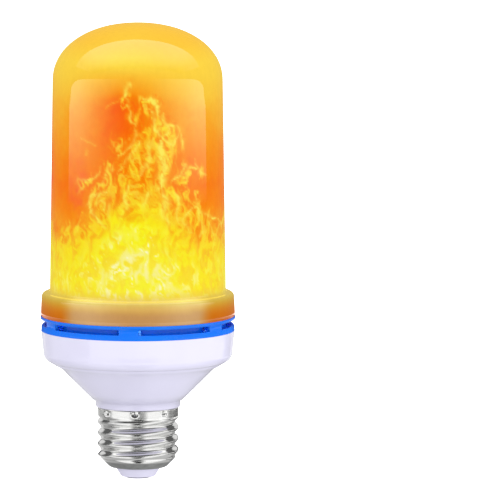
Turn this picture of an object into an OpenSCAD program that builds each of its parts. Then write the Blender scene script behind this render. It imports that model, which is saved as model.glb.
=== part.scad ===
// Flame effect LED bulb with a 27 mm Edison screw cap.
// Millimetres. Z is the lamp's axis, the cap is at the bottom, and the origin is the centre contact's foot.

/* [Screw cap] */
// Major diameter of the rolled thread, over the crests
thread_major_d = 26.3; // [25.8:0.1:26.8]
// Minor diameter of the rolled thread, over the roots
thread_minor_d = 24.1; // [23.6:0.1:24.6]
// Pitch of the thread, seven turns to the inch
thread_pitch = 3.63; // [3.2:0.01:4.2]
// Height above the shell's foot where a crest passes +X
thread_lead_in = 2.04; // [1.6:0.02:3.6]
// Wall of the pressed metal shell
shell_wall = 0.3; // [0.2:0.05:0.4]
// Height of the metal shell
shell_h = 19.5; // [17:0.1:24]
// How far the plain skirt above the thread lies inside the crests
skirt_inset = 0.05; // [0:0.05:0.4]
// Height of the plain skirt above the thread
skirt_h = 2.6; // [2:0.1:4]
// Diameter of the flat foot of the shell
shell_foot_d = 16.4; // [15:0.1:18]
// Radius between the foot and the 45 degree cone
shell_foot_r = 2; // [1:0.1:2.6]
// Depth of the punch marks that stake the skirt to the housing
stake_depth = 0.5; // [0.3:0.05:0.6]
// Turn of the punch marks from the lamp's front
stake_turn = -4; // [-20:1:20]
// Diameter of the centre contact
contact_d = 8; // [6:0.1:9.6]
// Thickness of the centre contact's head
contact_head = 0.4; // [0.3:0.05:0.8]
// Diameter of the contact's pin
contact_pin_d = 1.6; // [1:0.1:2.2]
// Diameter of the insulator at its lower edge
insulator_low_d = 11.6; // [10:0.1:12.4]
// Diameter of the insulator where it enters the shell
insulator_top_d = 14.6; // [12.6:0.1:14.8]
// Visible height of the insulator
insulator_h = 3; // [1.8:0.1:4]
// Thickness of the insulator's flange inside the shell
insulator_flange = 1.2; // [0.8:0.1:1.6]

/* [Housing] */
// Diameter of the neck ring above the shell
neck_d = 27.4; // [26.8:0.1:28.4]
// Height of the neck ring
neck_h = 2.4; // [1.6:0.1:4]
// Ledge between the neck ring and the foot of the cone
neck_ledge = 0.9; // [0.3:0.1:1.4]
// Height of the drum, from the crease to the vent ring
drum_h = 12.3; // [10:0.1:16]
// Diameter of the lamp's body, at the upper edge of the drum
body_d = 62.4; // [58:0.1:72]
// Narrowing of the drum's diameter towards its lower edge
drum_draft = 1.4; // [0.6:0.1:2]
// Width of the drum's sloping underside, from the crease to the side
drum_floor_w = 5.8; // [5:0.1:8]
// Radius of the drum's lower edge
drum_edge_r = 3.2; // [2:0.1:4]
// Slope of the drum's underside
drum_floor_angle = 30; // [15:1:34]
// Width of the shadow groove where the underside meets the lower edge
shadow_w = 0.7; // [0.4:0.1:0.9]
// Depth of the shadow groove
shadow_depth = 0.4; // [0.2:0.05:0.5]
// Wall of the housing
housing_wall = 1.6; // [1.2:0.1:2]
// Bore of the spigot inside the screw shell
spigot_bore_d = 20.4; // [20.1:0.1:20.8]
// Outer diameter of a screw boss
boss_d = 5.4; // [5:0.1:6]
// Depth of the pilot hole in a boss
pilot_depth = 9; // [8:0.1:12]

/* [Vent ring] */
// How far the vent ring stands proud of the drum
ring_proud = 0.2; // [0.1:0.05:0.5]
// Visible height of the vent ring
ring_h = 4.7; // [4.5:0.1:7]
// Number of vent slots
slot_count = 6; // [4:1:8]
// Angle that one slot spans
slot_angle = 48; // [24:1:52]
// Height of a slot
slot_h = 1.8; // [1.4:0.1:2]
// How far the slots lie above the ring's middle
slot_rise = 0.3; // [0:0.05:0.35]
// Depth of the groove that the slots lie in
groove_depth = 0.5; // [0.3:0.1:0.7]
// Height of the groove
groove_h = 2.6; // [2.4:0.1:3]
// Wall of the vent ring
ring_wall = 1.4; // [1.2:0.1:1.5]

/* [Cover] */
// Narrowing of the collar's diameter towards its top
collar_draft = 0.8; // [0.4:0.1:1.2]
// Height of the collar
collar_h = 7.6; // [7:0.1:14]
// Radius of the collar's upper edge
collar_edge_r = 1.3; // [0.8:0.1:1.5]
// Step in from the collar's foot to the tube's side
shoulder_w = 3.05; // [2.6:0.05:4]
// Narrowing of the tube's diameter towards the dome
tube_draft = 1.9; // [0.6:0.1:2.6]
// Length of the tube, from the collar to the dome
tube_h = 68.4; // [64:0.1:100]
// Height of the dome
dome_h = 18.6; // [16:0.1:28]
// Fullness of the dome's curve, where 2 is a true ellipse
dome_fullness = 2.12; // [2:0.02:2.4]
// Wall of the cover
cover_wall = 1.3; // [1:0.1:1.6]

/* [LED column] */
// Outer diameter of the moulded former
former_d = 30; // [28:0.1:34]
// Wall of the former
former_wall = 1.3; // [1:0.1:1.6]
// Rim of the former's foot flange outside the screw heads
former_flange_rim = 1.1; // [0.6:0.1:1.4]
// Thickness of the former's foot flange
former_flange_t = 1.6; // [1.2:0.1:2.4]
// How far the former ends below the spring of the dome
former_short = 1.7; // [1.4:0.1:6]
// Thickness of the rolled flexible board
flex_t = 0.2; // [0.1:0.05:0.3]
// Rows of LEDs up the column
led_rows = 9; // [9:1:9]
// LEDs round each row
led_columns = 11; // [8:1:14]
// Bare ends of the flexible board's wrap, below and above on the former
flex_margin = [4.6, 3.8];
// Width, height and thickness of one LED package
led_size = [2.8, 3.5, 0.8];
// Diameter of the light window in an LED
led_window_d = 2.3; // [1.6:0.1:2.5]

/* [Electronics] */
// Space between the driver board's edge and the spigot's bore
driver_side_gap = 0.7; // [0.4:0.1:1.6]
// Height of the driver board
driver_h = 30; // [30:0.5:32]
// Thickness of the driver board
driver_t = 1.2; // [1:0.1:1.6]
// Height of the driver board's lower edge above the shell's foot
driver_lift = 11.1; // [10:0.1:12]
// Thickness of the round control board
control_t = 1; // [0.8:0.1:1.6]
// Height of the control board above the former's foot
control_lift = 3.2; // [3:0.1:3.6]
// Diameter and length of the input capacitor
input_cap = [8, 12];
// Diameter and length of the output capacitor
output_cap = [6.3, 11];
// Diameter and length of the inductor
choke = [7.8, 9];
// Diameter and length of the fusible resistor
fuse = [3.2, 7];
// Diameter of an insulated lead to the control board
lead_d = 1.3; // [1:0.1:1.5]
// Diameter of a mains lead
mains_lead_d = 0.8; // [0.6:0.1:1]
// Diameter of a component's wire
wire_d = 0.7; // [0.5:0.1:0.8]
// Length, width and height of the flame controller
controller_size = [9.9, 3.9, 1.4];
// Length, width and height of the driver chip
driver_chip_size = [4.9, 3.9, 1.4];
// Length, width and height of the bridge rectifier
rectifier_size = [4.7, 3.9, 1.5];
// Length, width and height of the flyback diode
diode_size = [4.3, 2.6, 1.9];
// Length, width and height of the board socket
socket_size = [7.4, 5.6, 4.2];
// Length, width and depth of the plug inside the socket
plug_size = [6.6, 4.4, 3.4];
// Diameter and height of the tilt switch
tilt_can = [4.4, 6];

/* [Screws] */
// Diameter of a screw's head
screw_head_d = 4.6; // [4:0.1:4.8]
// Height of a screw's head
screw_head_h = 1.5; // [1.2:0.1:1.8]
// Length of a screw below its head
screw_l = 7.5; // [6:0.1:8]
// Diameter of a screw's shank
screw_d = 2.2; // [2:0.1:2.4]

/* [Fits] */
// Clearance between pieces that slide together
fit_gap = 0.15; // [0.1:0.01:0.2]
// Seam left where one rim faces another
seam_gap = 0.1; // [0.05:0.01:0.2]
// How far a snap bead stands out
snap_h = 0.35; // [0.2:0.05:0.45]

/* [Hidden] */
LED_ROWS = [for (i = [1 : led_rows]) str("led_row_", i)];

// Radii that several pieces share
minor_r = thread_minor_d / 2;
skirt_r = thread_major_d / 2 - skirt_inset;
spigot_bore_r = spigot_bore_d / 2;
driver_w = spigot_bore_d - 2 * driver_side_gap;
cone_foot_r = neck_d / 2 + neck_ledge;
body_r = body_d / 2;
drum_low_r = body_r - drum_draft / 2;
drum_bore_r = drum_low_r - housing_wall + 0.2;
crease_r = drum_low_r - drum_floor_w;
ring_r = body_r + ring_proud;
collar_top_r = ring_r - collar_draft / 2;
collar_bore_r = collar_top_r - cover_wall;
tube_r = ring_r - shoulder_w;
tube_top_r = tube_r - tube_draft / 2;
tube_bore_r = tube_r - cover_wall;
former_r = former_d / 2;
former_bore_r = former_r - former_wall;
root2 = sqrt(2);

// Heights of the seams between the outer pieces
z_shell = contact_head + insulator_h;
z_shell_top = z_shell + shell_h;
z_neck = z_shell_top + seam_gap;
z_cone = z_neck + neck_h;
z_crease = z_cone + crease_r - cone_foot_r;
z_ring = z_crease + drum_h;
z_collar = z_ring + ring_h;
z_tube = z_collar + collar_h;
z_dome = z_tube + tube_h;

// Points on an arc, for the outlines that are turned round the axis
function arc(centre, r, from, to, steps = 6) =
    [for (i = [0 : steps]) let (a = from + (to - from) * i / steps) centre + r * [cos(a), sin(a)]];

// A step from 0 to 1 with soft ends
function soft_step(x) = x <= 0 ? 0 : x >= 1 ? 1 : x * x * (3 - 2 * x);

module turned(outline) {
    rotate_extrude($fn = 96) polygon(outline);
}

module ring_of(count, radius, phase = 0) {
    for (i = [0 : count - 1]) rotate(phase + i * 360 / count) translate([radius, 0, 0]) children();
}

// A sector of a turned rectangle, from angle a0 over the angle span
module sector(r, z, a0, span) {
    rotate(a0) rotate_extrude(angle = span, $fn = 96)
        translate([r[0], z[0]]) square([r[1] - r[0], z[1] - z[0]]);
}

// SCREW CAP
contact_r = contact_d / 2;
pin_r = contact_pin_d / 2;
pin_top = z_shell + shell_wall + insulator_flange + 1.4;
shell_foot_radius = shell_foot_d / 2;
cone_start = [shell_foot_radius + shell_foot_r / root2, z_shell + shell_foot_r * (1 - 1 / root2)];
z_thread = cone_start.y + minor_r - cone_start.x;
z_skirt = z_shell_top - skirt_h;
stake_count = 8;
stake_half = 0.8;
z_stake = z_shell_top - stake_half - 0.1;
shell_opening_r = insulator_top_d / 2 + seam_gap;

module centre_contact() {
    rim = contact_head * 0.7;
    color("gainsboro") turned(concat(
        [[0, 0]], arc([contact_r - rim, rim], rim, -90, 0),
        [[contact_r, contact_head], [pin_r, contact_head], [pin_r, pin_top], [0, pin_top]]));
}

module base_insulator() {
    edge_r = 0.8;
    boss_r = pin_r + 1.2;
    z_flange = z_shell + shell_wall;
    low_r = insulator_low_d / 2;
    top_r = insulator_top_d / 2;
    flange_r = shell_foot_radius - seam_gap;
    color("ghostwhite") turned(concat(
        [[pin_r + seam_gap / 4, contact_head], [low_r - edge_r, contact_head]],
        arc([low_r - edge_r, contact_head + edge_r], edge_r, -90, -20),
        [[top_r, z_shell], [top_r, z_flange], [flange_r, z_flange],
         [flange_r, spigot_foot], [boss_r, spigot_foot],
         [boss_r, pin_top - 0.6], [pin_r + seam_gap / 4, pin_top - 0.6]]));
}

// Radius of the rolled thread's mean line at angle a and height z
function thread_wave(a, z) =
    (thread_major_d + thread_minor_d) / 4
    + (thread_major_d - thread_minor_d) / 4 * cos(360 * (z - z_shell - thread_lead_in) / thread_pitch - a);

// How much of the thread's wave shows at height z
function thread_share(z) = min(soft_step((z - z_thread) / 1.2), soft_step((z_skirt - z) / 1.1));

// Stations of the shell's section: radius, height, inset from the outer surface, and share of a punch mark
thread_rings = ceil((z_skirt - z_thread) / (thread_pitch / 7));
function shell_side(inset) = concat(
    [for (p = arc([shell_foot_radius, z_shell + shell_foot_r], shell_foot_r - inset, -90, -45, 3))
        [p.x, p.y, inset, 0]],
    [for (i = [0 : thread_rings]) let (z = z_thread + (z_skirt - z_thread) * i / thread_rings)
        [(z < (z_thread + z_skirt) / 2 ? minor_r - (i == 0 ? inset * (root2 - 1) : 0) : skirt_r) - inset,
         z, inset, 0]],
    [[skirt_r - inset, z_stake - stake_half, inset, 0], [skirt_r - inset, z_stake, inset, 1],
     [skirt_r - inset, z_shell_top - 0.1, inset, 0], [skirt_r - inset, z_shell_top, inset, 0]]);
function reversed(list) = [for (i = [len(list) - 1 : -1 : 0]) list[i]];

module screw_shell() {
    sides = 7 * stake_count;
    section = concat(
        [[shell_opening_r, z_shell, 0, 0]], shell_side(0),
        reversed(shell_side(shell_wall)), [[shell_opening_r, z_shell + shell_wall, shell_wall, 0]]);
    count = len(section);
    points = [for (s = section, j = [0 : sides - 1])
        let (a = 360 * j / sides + stake_turn, share = thread_share(s[1]),
             stake = s[3] == 1 && j % (sides / stake_count) == 0 ? stake_depth : 0,
             r = s[0] * (1 - share) + (thread_wave(a, s[1]) - s[2]) * share - stake)
        [r * cos(a), r * sin(a), s[1]]];
    faces = [for (k = [0 : count - 1], j = [0 : sides - 1])
        let (up = (k + 1) % count, next = (j + 1) % sides)
        [k * sides + j, up * sides + j, up * sides + next, k * sides + next]];
    color("silver") polyhedron(points, faces, convexity = 10);
}

// HOUSING
spigot_foot = z_shell + shell_wall + insulator_flange;
spigot_r = minor_r - shell_wall - 0.2;
stake_seat_r = skirt_r - shell_wall - seam_gap;
// The groove that the punched metal is pressed into
stake_floor_r = stake_seat_r - stake_depth;
drum_floor_run = drum_low_r - crease_r - drum_edge_r * (1 - sin(drum_floor_angle));
drum_edge_z = z_crease + drum_floor_run * tan(drum_floor_angle) + drum_edge_r * cos(drum_floor_angle);
z_boss = z_collar - ring_wall;
boss_count = 3;
boss_phase = 90;
upper_spigot_r = collar_bore_r - fit_gap;
upper_spigot_h = 3.6;
// The screws stand midway between the former and the vent ring's upper spigot
boss_ring_r = (former_r + upper_spigot_r - ring_wall) / 2;
deck_bore_r = boss_ring_r - boss_d / 2 - 0.4;
pilot_r = screw_d / 2;
rail_w = 1.2;
z_driver = z_shell + driver_lift;
driver_y = 1;
snap_z = z_ring - 1.4;

// The shadow groove on the drum's sloping underside, from its inner to its outer edge
function on_floor(r, up = 0) = [r, z_crease + (r - crease_r) * tan(drum_floor_angle) + up];
shadow_margin = 0.3;
shadow_r = crease_r + drum_floor_run - shadow_margin - shadow_w;
shadow_groove = [
    on_floor(shadow_r), on_floor(shadow_r + shadow_w / 4, shadow_depth),
    on_floor(shadow_r + shadow_w * 3 / 4, shadow_depth), on_floor(shadow_r + shadow_w)];

// The housing's outside, from the foot of the spigot to the upper edge of the drum
housing_outside = concat(
    [[spigot_bore_r - 1, spigot_foot], [spigot_r, spigot_foot + spigot_r - spigot_bore_r + 1],
     [spigot_r, z_skirt - 0.3], [stake_seat_r, z_skirt + 0.2], [stake_seat_r, z_stake - stake_half],
     [stake_floor_r, z_stake - stake_half / 2], [stake_floor_r, z_stake + stake_half / 2],
     [stake_seat_r, z_stake + stake_half], [stake_seat_r, z_neck], [neck_d / 2 - 0.4, z_neck],
     [neck_d / 2, z_neck + 0.4], [neck_d / 2, z_cone], [cone_foot_r, z_cone]],
    [[crease_r, z_crease]], shadow_groove,
    arc([drum_low_r - drum_edge_r, drum_edge_z], drum_edge_r, drum_floor_angle - 90, 0, 8),
    [[body_r, z_ring]]);

// The housing's inside, from the rim of the drum down to the lip at the foot of the spigot
housing_inside = concat(
    [[drum_bore_r, z_ring], [drum_bore_r, snap_z + 0.5], [drum_bore_r + snap_h, snap_z + 0.2],
     [drum_bore_r + snap_h, snap_z - 0.2], [drum_bore_r, snap_z - 0.5]],
    arc([drum_bore_r - 1.6, drum_edge_z + 0.2], 1.6, 0, drum_floor_angle - 90, 5),
    [[crease_r - 0.6, z_crease + housing_wall + 0.3],
     [spigot_bore_r, z_crease + housing_wall + 0.3 - (crease_r - 0.6 - spigot_bore_r)],
     [spigot_bore_r, spigot_foot + 1.2], [spigot_bore_r - 3.7, spigot_foot + 1.2],
     [spigot_bore_r - 3.7, spigot_foot]]);

module lamp_housing() {
    color("lavender") difference() {
        union() {
            turned(concat(housing_outside, housing_inside));
            intersection() {
                turned(concat([[0, spigot_foot]], housing_outside, [[0, z_ring]]));
                housing_posts();
            }
            // The bosses stand above the drum's rim, up to the vent ring's deck
            ring_of(boss_count, boss_ring_r, boss_phase)
                translate([0, 0, z_ring - 1]) cylinder(h = z_boss - z_ring + 1, d = boss_d, $fn = 48);
        }
        ring_of(boss_count, boss_ring_r, boss_phase)
            translate([0, 0, z_boss - pilot_depth])
                cylinder(h = pilot_depth + 1, r = pilot_r + 0.05, $fn = 32);
        // The notch that brings the return lead out to the shell
        translate([-spigot_r - 1, -1, spigot_foot - 1]) cube([5, 2, 6.2]);
    }
}

// The screw bosses and the rails that hold the driver board's edges, before they are trimmed to the outside
module housing_posts() {
    ring_of(boss_count, boss_ring_r, boss_phase)
        translate([0, 0, z_cone]) cylinder(h = z_ring - z_cone, d = boss_d, $fn = 48);
    for (side = [-1, 1], y = [driver_y - rail_w - 0.08, driver_y + driver_t + 0.08])
        translate([side > 0 ? driver_w / 2 - 1.3 : -driver_w / 2 + 1.3 - 4, y, z_driver])
            cube([4, rail_w, z_cone + 3 - z_driver]);
}

// VENT RING
slot_pitch = 360 / slot_count;
slot_phase = -89;
z_groove = z_ring + ring_h / 2 + slot_rise;
plug_r = drum_bore_r - fit_gap;
channel_r = [ring_r - 3.1, ring_r - groove_depth - ring_wall + 0.2];
baffle_r = channel_r[0] - 1.2;

module vent_ring() {
    lip = 0.3;
    slot_z = [z_groove - slot_h / 2, z_groove + slot_h / 2];
    channel_z = [slot_z[0] - 0.6, slot_z[1] + 0.1];
    window = slot_pitch - slot_angle + 3;
    snap_top = z_collar + upper_spigot_h - 1.2;
    color("dodgerblue") difference() {
        turned([
            [body_r, z_ring], [ring_r - lip, z_ring + 0.2], [ring_r - lip, z_groove - groove_h / 2],
            [ring_r - groove_depth, z_groove - groove_h / 2 + 0.2],
            [ring_r - groove_depth, z_groove + groove_h / 2 - 0.3], [ring_r, z_groove + groove_h / 2],
            [ring_r, z_collar - 0.2], [ring_r - 0.2, z_collar], [upper_spigot_r, z_collar],
            [upper_spigot_r, snap_top - 0.4], [upper_spigot_r + snap_h, snap_top],
            [upper_spigot_r, snap_top + 0.5], [upper_spigot_r - 0.4, z_collar + upper_spigot_h],
            [upper_spigot_r - ring_wall, z_collar + upper_spigot_h], [upper_spigot_r - ring_wall, z_collar],
            [deck_bore_r, z_collar], [deck_bore_r, z_collar - ring_wall],
            [baffle_r, z_collar - ring_wall], [baffle_r, z_ring], [plug_r - ring_wall, z_ring],
            [plug_r - ring_wall, z_ring - 2.2], [plug_r - 0.3, z_ring - 2.2], [plug_r, snap_z - 0.5],
            [plug_r + snap_h, snap_z], [plug_r, snap_z + 0.4], [plug_r, z_ring]]);
        sector(channel_r, channel_z, 0, 360);
        for (i = [0 : slot_count - 1]) {
            sector([channel_r[0] + 0.4, ring_r + 1], slot_z, slot_phase + i * slot_pitch, slot_angle);
            sector([baffle_r - 1, channel_r[0] + 0.2], [channel_z[0] + 0.2, z_collar - ring_wall - 0.2],
                   slot_phase + i * slot_pitch - window / 2 - (slot_pitch - slot_angle) / 2, window);
        }
        ring_of(boss_count, boss_ring_r, boss_phase)
            translate([0, 0, z_collar - ring_wall - 1]) cylinder(h = ring_wall + 2, r = 1.4, $fn = 32);
    }
}

// COVER
root_fillet = 0.8;

module diffuser_cover() {
    snap_top = z_collar + upper_spigot_h - 1.2;
    // From the spring of the dome to its crown
    function dome(r, h, steps) = [for (i = [0 : steps]) let (a = 90 * i / steps)
        [r * pow(cos(a), 2 / dome_fullness), z_dome + h * pow(sin(a), 2 / dome_fullness)]];
    color("moccasin") turned(concat(
        [[collar_bore_r, z_collar], [ring_r - 0.4, z_collar], [ring_r, z_collar + 0.5]],
        arc([collar_top_r - collar_edge_r, z_tube - collar_edge_r], collar_edge_r, 0, 90),
        arc([tube_r + root_fillet, z_tube + root_fillet], root_fillet, 270, 180, 4),
        dome(tube_top_r, dome_h, 24),
        reversed(dome(tube_top_r - cover_wall, dome_h - cover_wall, 24)),
        [[tube_bore_r, z_tube], [tube_bore_r, z_tube - cover_wall],
         [collar_bore_r, z_tube - cover_wall - 0.6],
         [collar_bore_r, snap_top + 0.6], [collar_bore_r + snap_h, snap_top + 0.1],
         [collar_bore_r + snap_h, snap_top - 0.1], [collar_bore_r, snap_top - 0.5]]));
}

// LED COLUMN
former_flange_r = boss_ring_r + screw_head_d / 2 + former_flange_rim;
z_former_top = z_dome - former_short;
flex_r = former_r + 0.03;
flex_low = z_collar + flex_margin[0];
flex_high = z_former_top - flex_margin[1];
row_pitch = (flex_high - flex_low) / led_rows;
tail_w = 8;
tail_in = 2.6;
seam_angle = 8;
z_control = z_collar + control_lift;
control_board_r = former_bore_r - fit_gap;
ledge_w = 1.6;

module led_former() {
    color("whitesmoke") difference() {
        turned([
            [former_bore_r, z_collar], [former_flange_r, z_collar],
            [former_flange_r, z_collar + former_flange_t], [former_r + 1.4, z_collar + former_flange_t],
            [former_r, z_collar + former_flange_t + 0.7], [former_r, z_former_top - 0.5],
            [former_r - 0.5, z_former_top], [4, z_former_top], [4, z_former_top - former_wall],
            [former_bore_r, z_former_top - former_wall], [former_bore_r, z_control],
            [former_bore_r - ledge_w, z_control], [former_bore_r - ledge_w, z_control - 1.2],
            [former_bore_r, z_control - 2.4]]);
        ring_of(boss_count, boss_ring_r, boss_phase)
            translate([0, 0, z_collar - 1]) cylinder(h = former_flange_t + 2, r = 1.4, $fn = 32);
        // The slot that lets the flexible board's tail in to the control board
        translate([-tail_w / 2 - 0.3, former_bore_r - 1, z_control + control_t]) cube([tail_w + 0.6, 4, 1.4]);
    }
}

module flex_board() {
    z_tail = z_control + control_t + 0.05;
    tail_angle = 2 * asin(tail_w / 2 / flex_r);
    color("linen") union() {
        sector([flex_r, flex_r + flex_t], [flex_low, flex_high], 90 + seam_angle / 2, 360 - seam_angle);
        // The tail goes down the former, in through its slot and lies on the control board's edge
        sector([flex_r, flex_r + flex_t], [z_tail, flex_low], 90 - tail_angle / 2, tail_angle);
        intersection() {
            translate([-tail_w / 2, former_bore_r - tail_in, z_tail]) cube([tail_w, former_r, flex_t]);
            translate([0, 0, z_tail]) cylinder(h = flex_t, r = flex_r + flex_t, $fn = 96);
        }
    }
}

module led_package() {
    color("lightyellow") difference() {
        translate([0.02, -led_size.x / 2, -led_size.y / 2]) cube([led_size.z, led_size.x, led_size.y]);
        translate([led_size.z - 0.13, 0, 0]) rotate([0, 90, 0]) cylinder(h = 1, d = led_window_d, $fn = 32);
    }
}

module led_row(i) {
    // An LED never sits on the wrap's seam at +Y
    phase = -90 + (led_columns % 2 == 0 ? 180 / led_columns : 0);
    translate([0, 0, flex_low + (i - 0.5) * row_pitch])
        ring_of(led_columns, flex_r + flex_t, phase) led_package();
}

module control_board() {
    color("seagreen") difference() {
        translate([0, 0, z_control]) cylinder(h = control_t, r = control_board_r, $fn = 96);
        translate([0, -control_board_r, z_control - 1]) cylinder(h = control_t + 2, r = 1.6, $fn = 32);
    }
}

// A chip with gull wing legs, lying on the XY plane
module small_outline_chip(size, legs) {
    standoff = size.z / 9;
    pitch = size.x / (legs + 0.4);
    leg = [pitch / 3, size.y / 4, 2 * standoff];
    union() {
        translate([-size.x / 2, -size.y / 2, standoff]) cube(size);
        for (i = [0 : legs - 1], side = [-1, 1])
            translate([(i - (legs - 1) / 2) * pitch, side * ((size.y + leg.y) / 2 - 0.1), leg.z / 2])
                cube(leg, center = true);
    }
}

module flame_controller() {
    color("dimgray") translate([0, 2.6, z_control + control_t])
        small_outline_chip(controller_size, 8);
}

// A sealed can with a loose ball in it, which tells the controller which way up the lamp hangs
module tilt_switch() {
    rim = 0.8;
    color("silver") rotate(-133) translate([control_board_r - 5.9, 0, z_control + control_t]) union() {
        cylinder(h = rim, d = tilt_can[0] + 0.6, $fn = 48);
        translate([0, 0, rim]) cylinder(h = tilt_can[1] - rim, d = tilt_can[0], $fn = 48);
    }
}

// DRIVER AND LEADS
driver_front = driver_y;
driver_back = driver_y + driver_t;
z_driver_top = z_driver + driver_h;
socket_xy = (control_board_r - 7.2) / root2 * [1, -1];
z_socket = z_control - socket_size.z;

module board_socket() {
    color("ivory") translate([socket_xy.x, socket_xy.y, z_socket]) difference() {
        translate([-socket_size.x / 2, -socket_size.y / 2, 0]) cube(socket_size);
        translate([-plug_size.x / 2 - 0.05, -plug_size.y / 2 - 0.05, -1])
            cube([plug_size.x + 0.1, plug_size.y + 0.1, plug_size.z + 1]);
    }
}

module lead_plug() {
    color("white") translate([socket_xy.x - plug_size.x / 2, socket_xy.y - plug_size.y / 2, z_socket - 2])
        difference() {
            cube([plug_size.x, plug_size.y, plug_size.z + 1.95]);
            for (x = lead_x) translate([x + plug_size.x / 2, plug_size.y / 2, -1])
                cylinder(h = 3, d = lead_d + fit_gap, $fn = 24);
        }
}
lead_x = [-1.25, 1.25];

function unit(v) = v / norm(v);
function bezier(p, t) =
    let (u = 1 - t) p[0] * u * u * u + p[1] * 3 * u * u * t + p[2] * 3 * u * t * t + p[3] * t * t * t;

// A round lead along a Bezier curve with four control points
module lead(route, d, steps = 14, sides = 8) {
    path = [for (i = [0 : steps]) bezier(route, i / steps)];
    function along(i) = unit(i == 0 ? route[1] - route[0] : i == steps ? route[3] - route[2]
        : path[i + 1] - path[i - 1]);
    points = [for (i = [0 : steps], j = [0 : sides - 1])
        let (t = along(i), u = unit(cross(t, [0.1, 1, 0.05])), v = cross(t, u), a = 360 * j / sides)
        path[i] + d / 2 * (cos(a) * u + sin(a) * v)];
    faces = concat(
        [[for (j = [0 : sides - 1]) j]],
        [for (i = [0 : steps - 1], j = [0 : sides - 1]) let (k = i * sides, n = (j + 1) % sides)
            [k + j, k + sides + j, k + sides + n, k + n]],
        [[for (j = [sides - 1 : -1 : 0]) steps * sides + j]]);
    polyhedron(points, faces);
}

module dc_lead(i) {
    x = socket_xy.x + lead_x[i];
    z_plug = z_socket - 0.95;
    pad = [x, driver_front - lead_d / 2 - 0.05, z_driver_top - 2.5];
    lead([[x, socket_xy.y, z_plug], [x, socket_xy.y, z_plug - 6], pad + [0, 0, 5], pad], lead_d);
}

module driver_board() {
    color("darkgreen") translate([-driver_w / 2, driver_front, z_driver])
        cube([driver_w, driver_t, driver_h]);
}

// Two wires that leave an upright component's foot and bend to the board before (1) or behind (-1) it
module bent_wires(r, gap, side) {
    drop = 1.5 * wire_d;
    for (x = [-r / 2, r / 2]) {
        translate([x, 0, -drop]) cylinder(h = drop + 0.1, d = wire_d, $fn = 16);
        translate([x, side * wire_d / 2, -drop + wire_d / 2]) rotate([side * 90, 0, 0])
            cylinder(h = r + gap + wire_d / 2, d = wire_d, $fn = 16);
    }
}

// An upright radial can with its rolled neck and crimped crown
module can_capacitor(size, x, z) {
    r = size[0] / 2;
    crown = size[1] - 0.2;
    groove = size[1] / 7;
    gap = 0.1;
    translate([x, driver_front - gap - r, z]) union() {
        rotate_extrude($fn = 64) polygon([
            [0, 0], [r - 0.4, 0], [r, 0.4], [r, groove - 0.4], [r - 0.35, groove], [r, groove + 0.4],
            [r, size[1] - 0.5], [r - 0.5, size[1]], [r - 1.4, size[1]], [r - 1.6, crown], [0, crown]]);
        bent_wires(r, gap, -1);
    }
}

// The two cans stand side by side before the board, a little apart
can_gap = 0.8;
can_centre = (input_cap[0] - output_cap[0]) / 2;

module input_capacitor() {
    color("dimgray") can_capacitor(input_cap, can_centre - (input_cap[0] + can_gap) / 2 - can_gap / 2,
                                   z_driver_top - 3 - input_cap[1]);
}

module output_capacitor() {
    color("darkslategray") can_capacitor(output_cap, can_centre + (output_cap[0] + can_gap) / 2,
                                         z_driver_top - 5 - output_cap[1]);
}

// A wound drum core that stands behind the board
module choke_coil() {
    r = choke[0] / 2;
    disc = choke[1] / 8;
    gap = 0.1;
    color("sienna") translate([-driver_w / 6, driver_back + gap + r, z_driver_top - 4 - choke[1]]) union() {
        cylinder(h = disc, r = r, $fn = 48);
        translate([0, 0, disc]) cylinder(h = choke[1] - 2 * disc, r = r - 0.7, $fn = 48);
        translate([0, 0, choke[1] - disc]) cylinder(h = disc, r = r, $fn = 48);
        bent_wires(r, gap, 1);
    }
}

module on_board(x, z, side) {
    translate([x, side > 0 ? driver_back : driver_front, z]) rotate([side > 0 ? -90 : 90, 0, 0]) children();
}

module bridge_rectifier() {
    color("black") on_board(0, z_driver + driver_h / 4, 1) small_outline_chip(rectifier_size, 2);
}

module driver_chip() {
    color("black") on_board(0, z_driver + driver_h * 0.3, -1) small_outline_chip(driver_chip_size, 4);
}

module flyback_diode() {
    color("black") on_board(driver_w / 4, z_driver + driver_h / 2, 1) small_outline_chip(diode_size, 1);
}

fuse_at = [0, -2.8, pin_top + 3];
fuse_bulge = fuse[1] / 5;

module fusible_resistor() {
    r = fuse[0] / 2;
    color("seagreen") translate(fuse_at) union() {
        turned([[0, 0], [r - 0.4, 0], [r, 0.5], [r, fuse_bulge], [r - 0.3, fuse_bulge + 0.4],
                [r - 0.3, fuse[1] - fuse_bulge - 0.4], [r, fuse[1] - fuse_bulge], [r, fuse[1] - 0.5],
                [r - 0.4, fuse[1]], [0, fuse[1]]]);
        translate([0, 0, fuse[1] - 0.1]) cylinder(h = 1.4 * wire_d, d = wire_d, $fn = 16);
        translate([0, -wire_d / 2, fuse[1] + 0.8 * wire_d]) rotate([-90, 0, 0])
            cylinder(h = driver_front - fuse_at.y + wire_d / 2, d = wire_d, $fn = 16);
    }
}

module contact_lead() {
    bend = (fuse_at.z - pin_top) / 2;
    color("firebrick") lead([[0, 0, pin_top], [0, 0, pin_top + bend], fuse_at - [0, 0, bend], fuse_at],
                            mains_lead_d, 10);
}

module shell_lead() {
    pad = [-driver_w / 2 + 2.1, driver_front - mains_lead_d / 2 - 0.1, z_driver + 1.8];
    weld = [-minor_r + shell_wall + 0.25, 0, spigot_foot + 3.1];
    color("black") lead([pad, pad - [0, 0, 6], [-spigot_bore_r * 0.6, 0, weld.z - 0.3], weld], mains_lead_d);
}

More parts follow.
